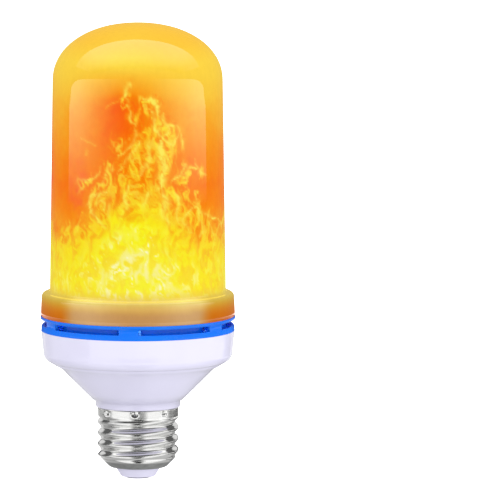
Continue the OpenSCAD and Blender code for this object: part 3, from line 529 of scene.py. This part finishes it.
def nickel_finish(dull_shaded_below=5.3, bright_above=6.0):
    """Bright nickel with fine drawn lines; on the cone at the shell's foot it is rougher, and its darker grey is
    painted shade.
    """
    mat = finish("nickel_plate", (220, 220, 218), 0.1, metallic=1.0)
    links = mat.node_tree.links
    coords = add(mat, "ShaderNodeTexCoord")
    split = add(mat, "ShaderNodeSeparateXYZ")
    links.new(coords.outputs["Object"], split.inputs["Vector"])
    height = add(mat, "ShaderNodeMapRange", interpolation_type="SMOOTHSTEP")
    height.inputs["From Min"].default_value = dull_shaded_below * MM
    height.inputs["From Max"].default_value = bright_above * MM
    links.new(split.outputs["Z"], height.inputs["Value"])
    lines = grain(mat, 180, (1, 1, 24), 4.0)
    colour = add(mat, "ShaderNodeMix", data_type="RGBA")
    links.new(height.outputs["Result"], colour.inputs[0])
    # Painted shade: the foot cone's grey is darker than the bright nickel above it
    links.new(shades(mat, grain(mat, 700), (150, 151, 150), (170, 171, 170)), colour.inputs[6])
    links.new(shades(mat, lines, (216, 216, 214), (231, 231, 230)), colour.inputs[7])
    plug_in(mat, "Base Color", colour.outputs[2])
    gloss = add(mat, "ShaderNodeMix", data_type="FLOAT")
    links.new(height.outputs["Result"], gloss.inputs["Factor"])
    links.new(spread_of(mat, grain(mat, 500), 0.4, 0.52), gloss.inputs["A"])
    links.new(spread_of(mat, lines, 0.07, 0.13), gloss.inputs["B"])
    plug_in(mat, "Roughness", gloss.outputs["Result"])
    bumped(mat, lines, 0.06, 0.02)
    return mat


def laminate_finish():
    """Coated laminate with a faint glass weave."""
    mat = finish("board_green", (24, 92, 48), 0.35)
    weave = add(mat, "ShaderNodeTexWave", wave_type="BANDS", bands_direction="DIAGONAL", Scale=900.0, Distortion=1.5)
    coords = add(mat, "ShaderNodeTexCoord")
    mat.node_tree.links.new(coords.outputs["Object"], weave.inputs["Vector"])
    plug_in(mat, "Base Color", shades(mat, weave, (14, 78, 38), (26, 98, 52), 0.2, 0.8))
    plug_in(mat, "Roughness", spread_of(mat, grain(mat, 300), 0.28, 0.42))
    bumped(mat, weave, 0.1, 0.02)
    return mat


def film_finish():
    """White coated film with a fine tooth."""
    mat = finish("flex_white", (240, 238, 230), 0.5)
    plug_in(mat, "Base Color", shades(mat, grain(mat, 90), (232, 229, 218), (243, 241, 234)))
    plug_in(mat, "Roughness", spread_of(mat, grain(mat, 500), 0.42, 0.58))
    bumped(mat, grain(mat, 3000, detail=1.0), 0.1, 0.01)
    return mat


def phosphor_finish():
    """Yellow phosphor with a fine speckle, glowing faintly."""
    mat = finish("led_phosphor_yellow", (250, 214, 92), 0.4)
    links = mat.node_tree.links
    speckle = grain(mat, 5200, detail=2.0)
    plug_in(mat, "Base Color", shades(mat, speckle, (238, 196, 70), (253, 226, 120)))
    plug_in(mat, "Roughness", spread_of(mat, speckle, 0.3, 0.5))
    shader = mat.node_tree.nodes["Principled BSDF"]
    shader.inputs["Emission Color"].default_value = (*linear((255, 190, 80)), 1)
    shader.inputs["Emission Strength"].default_value = 0.4
    bumped(mat, speckle, 0.2, 0.02)
    return mat


def cover_finish():
    """Milky cover lit from inside: the flames' colour comes from the mesh, fine licks and grain from noise."""
    mat = finish("lit_cover", (250, 170, 70), 0.1)
    nodes, links = mat.node_tree.nodes, mat.node_tree.links
    shader = nodes["Principled BSDF"]
    tint = add(mat, "ShaderNodeAttribute", attribute_name="flame_tint", attribute_type="GEOMETRY")
    licks = grain(mat, 620, (1, 1, 0.55), 4.0, 0.62)
    gain = spread_of(mat, licks, 0.975, 1.025)
    varied = add(mat, "ShaderNodeVectorMath", operation="SCALE")
    links.new(tint.outputs["Color"], varied.inputs[0])
    links.new(gain, varied.inputs["Scale"])
    milk = add(mat, "ShaderNodeVectorMath", operation="SCALE")
    milk.inputs["Scale"].default_value = 0.25
    links.new(varied.outputs["Vector"], milk.inputs[0])
    links.new(milk.outputs["Vector"], shader.inputs["Base Color"])
    links.new(varied.outputs["Vector"], shader.inputs["Emission Color"])
    shader.inputs["Emission Strength"].default_value = 0.78
    plug_in(mat, "Roughness", spread_of(mat, grain(mat, 90), 0.03, 0.055))
    bumped(mat, grain(mat, 300, detail=1.0), 0.02, 0.01)
    return mat


nickel = nickel_finish()
laminate = laminate_finish()
film = film_finish()
phosphor = phosphor_finish()
lit_cover = cover_finish()


# ---------------------------------------------------------------- cover
def make_cover():
    outline = chain(
        list(reversed(dome_section(TUBE_TOP_R, Z_TOP - Z_DOME, Z_DOME, 24))),
        line((TUBE_TOP_R, Z_DOME), (TUBE_R, Z_TUBE + 0.8), 146),
        arc(TUBE_R + 0.8, Z_TUBE + 0.8, 0.8, 180, 270, 5),
        arc(COLLAR_TOP_R - 1.3, Z_TUBE - 1.3, 1.3, 90, 0, 7),
        line((COLLAR_TOP_R, Z_TUBE - 1.3), (RING_R, Z_COLLAR + 0.5), 7),
        [(RING_R, Z_COLLAR + 0.5), (RING_R - 0.4, Z_COLLAR), (COLLAR_BORE_R, Z_COLLAR),
         (COLLAR_BORE_R, Z_TUBE - COVER_WALL - 0.6), (TUBE_BORE_R, Z_TUBE - COVER_WALL), (TUBE_BORE_R, Z_TUBE)],
        dome_section(TUBE_TOP_R - COVER_WALL, Z_TOP - Z_DOME - COVER_WALL, Z_DOME, 14))
    bm = turned(outline, 440, closed=False)
    obj = piece("cover_with_flames", bm, "diffuser_cover", lit_cover, 50)
    mesh = obj.data
    co = np.empty(len(mesh.vertices) * 3)
    mesh.vertices.foreach_get("co", co)
    co = co.reshape(-1, 3) / MM
    phi = np.arctan2(co[:, 0], -co[:, 1])
    tint = np.ones((len(co), 4))
    # Less what the room adds to it
    tint[:, :3] = np.clip(linear(cover_colour(phi, co[:, 2])) - 0.009, 0, 1) / 1.075
    layer = mesh.color_attributes.new("flame_tint", "FLOAT_COLOR", "POINT")
    layer.data.foreach_set("color", tint.ravel())
    return obj


# ---------------------------------------------------------------- screw shell
def make_screw_shell():
    """The thin shell: plain outline first, then its rolled thread and punch marks."""
    low = Z_SHELL + 2 * (1 - math.sqrt(0.5))
    start_r = SHELL_FOOT_R + 2 * math.sqrt(0.5)
    z_thread = low + ROOT_R - start_r

    def side(inset, steps):
        return chain(arc(SHELL_FOOT_R, Z_SHELL + 2, 2 - inset, -90, -45, 6),
                     line((start_r - inset * 0.7, low + inset * 0.3), (ROOT_R - inset * 1.0, z_thread), 3),
                     line((ROOT_R - inset, z_thread), (ROOT_R - inset, Z_SHELL_TOP - 0.12), steps),
                     [(ROOT_R - inset - 0.03, Z_SHELL_TOP)])
    outer, inner = side(0, 96), side(SHELL_WALL, 60)
    outline = chain([(SHELL_OPENING_R, Z_SHELL)], outer, list(reversed(inner)), [(SHELL_OPENING_R, Z_SHELL + SHELL_WALL)])
    bm = turned(outline, 256, closed=True)
    for v in bm.verts:
        x, y, z = v.co / MM
        if z < z_thread - 1e-6:
            continue
        r, a = math.hypot(x, y), math.atan2(y, x)
        inset = ROOT_R - r
        share = min(max(min((z - z_thread) / 1.2, (Z_SKIRT - z) / 1.1), 0), 1)
        share = share * share * (3 - 2 * share)
        plain = ROOT_R if z < (z_thread + Z_SKIRT) / 2 else SKIRT_R
        wave = THREAD_MEAN + THREAD_SWING * math.cos(2 * math.pi * (z - Z_SHELL - THREAD_LEAD_IN) / THREAD_PITCH - a)
        punch = 0.0
        turn = ((a - PUNCH_TURN) / (math.pi / 4)) % 1
        turn = min(turn, 1 - turn) * math.pi / 4 * SKIRT_R
        away = math.hypot(turn, (z - (Z_SHELL_TOP - 0.9)) * 1.0)
        if away < 1.6:
            punch = 0.5 * math.exp(-(away / 0.62) ** 2)
        new = plain * (1 - share) + wave * share - inset - punch
        v.co.x, v.co.y = v.co.x * new / r, v.co.y * new / r
    return piece("threaded_shell", bm, "screw_shell", nickel, 60)


make_cover()
make_screw_shell()
merged_copy("white_housing", "lamp_housing", housing_white)
merged_copy("slotted_vent_ring", "vent_ring", vent_blue)
merged_copy("contact_button", "centre_contact", contact_dull)
merged_copy("cap_insulator", "base_insulator", insulator_white)

INNER = {
    "led_former": former_white, "flex_board": film, "control_board": laminate, "driver_board": laminate,
    "flame_controller": epoxy, "bridge_rectifier": epoxy, "driver_chip": epoxy, "flyback_diode": epoxy,
    "tilt_switch": can_bright, "board_socket": nylon, "lead_plug": nylon, "red_lead": red_jacket,
    "black_lead": black_jacket, "input_capacitor": sleeve, "output_capacitor": sleeve, "choke_coil": winding,
    "fusible_resistor": lacquer, "contact_lead": red_jacket, "shell_lead": black_jacket, "core_screws": zinc,
}
INNER.update({f"led_row_{i}": phosphor for i in range(1, 10)})
for node_name, mat in INNER.items():
    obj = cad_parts[node_name]
    if not obj.material_slots:
        obj.data.materials.append(mat)
    for material_slot in obj.material_slots:
        material_slot.material = mat


# ---------------------------------------------------------------- stage
def emitter(name, colour, strength):
    mat = bpy.data.materials.new(name)
    mat.use_nodes = True
    nodes = mat.node_tree.nodes
    nodes.clear()
    out = nodes.new("ShaderNodeOutputMaterial")
    glow = nodes.new("ShaderNodeEmission")
    glow.inputs["Color"].default_value = (*colour, 1)
    glow.inputs["Strength"].default_value = strength
    mat.node_tree.links.new(glow.outputs["Emission"], out.inputs["Surface"])
    return mat, glow


def make_floor():
    bm = bmesh.new()
    bmesh.ops.create_circle(bm, cap_ends=True, radius=14, segments=64)
    mesh = bpy.data.meshes.new("pale_floor")
    bm.to_mesh(mesh)
    bm.free()
    obj = bpy.data.objects.new("pale_floor", mesh)
    bpy.context.scene.collection.objects.link(obj)
    mat = finish("pale_floor_paint", (250, 250, 250), 0.9, specular=0.0)
    shader = mat.node_tree.nodes["Principled BSDF"]
    shader.inputs["Emission Color"].default_value = (1, 1, 1, 1)
    shader.inputs["Emission Strength"].default_value = 0.8
    mesh.materials.append(mat)
    obj.visible_glossy = False
    obj.visible_diffuse = False


def soft_one(t):
    t = min(max(t, 0), 1)
    return t * t * (3 - 2 * t)


def glowing_stage(name, bm, values, strength):
    """A panel that only shines in gloss, with a glow for each of its vertices."""
    mesh = bpy.data.meshes.new(name)
    bm.to_mesh(mesh)
    bm.free()
    obj = bpy.data.objects.new(name, mesh)
    bpy.context.scene.collection.objects.link(obj)
    mesh.attributes.new("panel_glow", "FLOAT", "POINT").data.foreach_set("value", values)
    mat, glow = emitter(name + "_light", (1, 1, 1), strength)
    reader = mat.node_tree.nodes.new("ShaderNodeAttribute")
    reader.attribute_name = "panel_glow"
    times = mat.node_tree.nodes.new("ShaderNodeMath")
    times.operation = "MULTIPLY"
    times.inputs[1].default_value = strength
    mat.node_tree.links.new(reader.outputs["Fac"], times.inputs[0])
    mat.node_tree.links.new(times.outputs["Value"], glow.inputs["Strength"])
    mesh.materials.append(mat)
    obj.visible_camera = False
    obj.visible_diffuse = False
    obj.visible_shadow = False


# The light wall's glow by its height, and its upper edge by the azimuth in degrees
WALL_GLOW = [(0.045, 0), (0.05, 0.38), (0.0567, 0.75), (0.063, 1.06), (0.0696, 1.4), (0.076, 1.65), (0.083, 2.0)]
WALL_TOP = [(0, 0.2864), (17.3, 0.2813), (31.1, 0.2702), (45.2, 0.2532), (59.9, 0.2307), (72.4, 0.2088),
            (82.4, 0.1874), (89.2, 0.1552), (94.6, 0.1185), (98.7, 0.0868), (101.9, 0.0813), (104.1, 0.0801)]


def make_light_wall(radius=0.5, half_angle=102.6, bottom=0.045):
    """A tall curved light wall on the camera's side, brighter towards its two ends and dying away downwards."""
    bm = bmesh.new()
    heights = [bottom + 0.004 * i for i in range(11)] + [0.115, 0.15, 0.19]
    a0 = math.radians(-90 - half_angle)
    verts = [bm.verts.new((radius * math.cos(a0), radius * math.sin(a0), z)) for z in heights + [1.0]]
    edges = [bm.edges.new(pair) for pair in zip(verts, verts[1:])]
    bmesh.ops.spin(bm, geom=verts + edges, cent=(0, 0, 0), axis=(0, 0, 1), angle=math.radians(2 * half_angle),
                   steps=180, use_duplicate=False)
    values = []
    for v in bm.verts:
        azimuth = abs(math.degrees(math.atan2(v.co.x, -v.co.y)))
        v.co.z = min(v.co.z, np.interp(azimuth, *zip(*WALL_TOP)))
        sides = 0.05 + 0.95 * min(max((azimuth / half_angle - 0.12) / 0.68, 0), 1) ** 1.4
        values.append(sides * np.interp(v.co.z, *zip(*WALL_GLOW)))
    glowing_stage("light_wall", bm, values, 1.0)


# What the cap and the drum mirror, by the azimuth in degrees from the camera's side
CAP_SIDES = [(-180, 0.6), (-152, 0.8), (-136, 0.42), (-120, 0.38), (-108, 0.14), (-92, 0.1), (-82, 0.55), (-74, 1.15), (-26, 1.2),
             (-16, 0.32), (-8, 0.08), (0, 0.05), (7, 0.03), (14, 0.08), (22, 0.55), (30, 1.2), (78, 1.1), (92, 0.6),
             (103, 0.12), (140, 0.12), (160, 0.4), (180, 0.6)]
DRUM_SIDES = [(-180, 0.8), (-100, 0.75), (-75, 0.4), (-60, 0.25), (-58.5, 1.9), (60, 1.8), (126, 1.1), (128, 0.7), (180, 0.8)]


def make_low_wall(radius=0.5, top=0.002, bottom=-2.4):
    """A drum of light below the lamp's middle: bright at both sides and dark behind the camera."""
    bm = bmesh.new()
    heights = [top - 0.004 * i for i in range(38)]
    heights += [heights[-1] + (bottom - heights[-1]) * (i / 16) ** 1.6 for i in range(1, 17)]
    verts = [bm.verts.new((0, -radius, z)) for z in heights]
    edges = [bm.edges.new(pair) for pair in zip(verts, verts[1:])]
    bmesh.ops.spin(bm, geom=verts + edges, cent=(0, 0, 0), axis=(0, 0, 1), angle=2 * math.pi, steps=360,
                   use_merge=True, use_duplicate=False)
    values = []
    for v in bm.verts:
        azimuth = math.degrees(math.atan2(v.co.x, -v.co.y))
        glow = np.interp(azimuth, *zip(*CAP_SIDES))
        dip = math.radians(6.5 + 11.3 * math.cos(math.radians(azimuth / 2)))
        seen_by_drum = 0.046 - (radius - 0.031) * math.tan(dip)
        if seen_by_drum - 0.05 < v.co.z < seen_by_drum and v.co.z < -0.056:
            glow = np.interp(azimuth, *zip(*DRUM_SIDES))
        elif v.co.z > -0.036:
            glow = max(glow, 1.4)
        elif v.co.z < -0.28 and abs(azimuth) > 90:
            glow = np.interp(azimuth, [-180, -91, 91, 180], [0.6, 0.45, 0.65, 0.6])
        values.append(glow)
    glowing_stage("low_wall", bm, values, 1.0)


def make_back_wall(radius=0.06, bottom=0.016, top=0.045, strength=0.85):
    """A small soft light wall close behind the housing, that only the cap's sides mirror."""
    bm = bmesh.new()
    rows = 12
    a0 = math.radians(34)
    verts = [bm.verts.new((radius * math.cos(a0), radius * math.sin(a0), bottom + (top - bottom) * i / rows))
             for i in range(rows + 1)]
    edges = [bm.edges.new(pair) for pair in zip(verts, verts[1:])]
    bmesh.ops.spin(bm, geom=verts + edges, cent=(0, 0, 0), axis=(0, 0, 1), angle=math.radians(112),
                   steps=60, use_duplicate=False)
    values = [soft_one((v.co.z - bottom) / 0.006) * soft_one((top - v.co.z) / 0.006) for v in bm.verts]
    glowing_stage("back_wall", bm, values, strength)


def area_light(name, size, location, target, radiance):
    """A rectangular soft light whose face has that radiance."""
    data = bpy.data.lights.new(name, "AREA")
    data.shape = "RECTANGLE"
    data.size, data.size_y = size
    data.energy = radiance * math.pi * size[0] * size[1]
    obj = bpy.data.objects.new(name, data)
    obj.location = location
    obj.rotation_euler = (Vector(target) - Vector(location)).to_track_quat("-Z", "Y").to_euler()
    bpy.context.scene.collection.objects.link(obj)
    return obj


def make_world():
    """Even soft surroundings; what shines in gloss is darker in front, as in a studio."""
    world = bpy.data.worlds.new("studio")
    bpy.context.scene.world = world
    world.use_nodes = True
    nodes, links = world.node_tree.nodes, world.node_tree.links
    nodes.clear()
    out = nodes.new("ShaderNodeOutputWorld")
    room = nodes.new("ShaderNodeBackground")
    room.inputs["Color"].default_value = (0.98, 0.985, 1, 1)
    backdrop = nodes.new("ShaderNodeBackground")
    backdrop.inputs["Color"].default_value = (1, 1, 1, 1)
    backdrop.inputs["Strength"].default_value = 1.1
    gloss = nodes.new("ShaderNodeBackground")
    coords = nodes.new("ShaderNodeTexCoord")
    split = nodes.new("ShaderNodeSeparateXYZ")
    links.new(coords.outputs["Generated"], split.inputs["Vector"])
    # Soft light from everywhere, a little stronger from above and from the right
    slope = nodes.new("ShaderNodeVectorMath")
    slope.operation = "DOT_PRODUCT"
    slope.inputs[1].default_value = (0.17, 0, 0.25)
    links.new(coords.outputs["Generated"], slope.inputs[0])
    level = nodes.new("ShaderNodeMath")
    level.operation = "ADD"
    level.inputs[1].default_value = 1.19
    links.new(slope.outputs["Value"], level.inputs[0])
    links.new(level.outputs["Value"], room.inputs["Strength"])
    front = nodes.new("ShaderNodeMapRange")
    front.interpolation_type = "SMOOTHSTEP"
    front.inputs["From Min"].default_value = -0.98
    front.inputs["From Max"].default_value = -0.55
    front.inputs["To Min"].default_value = 0.09
    front.inputs["To Max"].default_value = 0.16
    links.new(split.outputs["Y"], front.inputs["Value"])
    below = nodes.new("ShaderNodeMapRange")
    below.interpolation_type = "SMOOTHSTEP"
    below.inputs["From Min"].default_value = -0.5
    below.inputs["From Max"].default_value = -0.8
    below.inputs["To Min"].default_value = 0
    below.inputs["To Max"].default_value = 0.45
    links.new(split.outputs["Z"], below.inputs["Value"])
    shining = nodes.new("ShaderNodeMath")
    shining.operation = "ADD"
    links.new(front.outputs["Result"], shining.inputs[0])
    links.new(below.outputs["Result"], shining.inputs[1])
    links.new(shining.outputs["Value"], gloss.inputs["Strength"])
    rays = nodes.new("ShaderNodeLightPath")
    shine = nodes.new("ShaderNodeMixShader")
    seen = nodes.new("ShaderNodeMixShader")
    links.new(rays.outputs["Is Glossy Ray"], shine.inputs["Fac"])
    links.new(room.outputs["Background"], shine.inputs[1])
    links.new(gloss.outputs["Background"], shine.inputs[2])
    links.new(rays.outputs["Is Camera Ray"], seen.inputs["Fac"])
    links.new(shine.outputs["Shader"], seen.inputs[1])
    links.new(backdrop.outputs["Background"], seen.inputs[2])
    links.new(seen.outputs["Shader"], out.inputs["Surface"])


def make_camera():
    """The photograph's long lens, a little above the lamp, which stands left of the middle."""
    tilt = math.radians(6.5)
    distance = 4.0
    across = Vector((1, 0, 0)) * 36.1 * MM
    up = Vector((0, math.sin(tilt), math.cos(tilt))) * 73.19 * MM
    back = Vector((0, -math.cos(tilt), math.sin(tilt)))
    data = bpy.data.cameras.new("camera")
    data.sensor_width = 36
    data.lens = 36 * distance / (500 / 3.10 * MM)
    data.clip_start, data.clip_end = 0.05, 60
    obj = bpy.data.objects.new("camera", data)
    obj.location = across + up + back * distance
    obj.rotation_euler = (-back).to_track_quat("-Z", "Y").to_euler()
    bpy.context.scene.collection.objects.link(obj)
    bpy.context.scene.camera = obj


def make_overhead_panel(height=0.75, far=0.325, near=-0.62, half_width=1.3, strength=1.9):
    """What shines on the dome: a wide panel overhead, brightest at its far edge and weaker at its sides."""
    bm = bmesh.new()
    bmesh.ops.create_grid(bm, x_segments=26, y_segments=14, size=0.5)
    values = []
    for v in bm.verts:
        along = v.co.y + 0.5
        v.co = (v.co.x * 2 * half_width, near + (far - near) * along, height)
        values.append(soft_one(along * 1.35) * (1 - 0.65 * soft_one((abs(v.co.x) - 0.3) / 0.7)))
    glowing_stage("overhead_panel", bm, values, strength)


make_floor()
make_light_wall()
make_low_wall()
make_back_wall()
make_overhead_panel()
overhead = area_light("overhead_softbox", (1.5, 0.85), (0, -0.1, 0.75), (0, -0.1, 0), 0.35)
overhead.visible_glossy = False
inside = bpy.data.lights.new("stray_light_inside", "POINT")
inside.shadow_soft_size, inside.energy, inside.color = 0.006, 0.02, (0.1, 0.4, 1.0)
lamp = bpy.data.objects.new("stray_light_inside", inside)
lamp.location = (0, 0, 0.0455)
lamp.visible_glossy = False
bpy.context.scene.collection.objects.link(lamp)
make_world()
make_camera()
bpy.context.scene.view_settings.view_transform = "Standard"
bpy.context.scene.view_settings.look = "None"
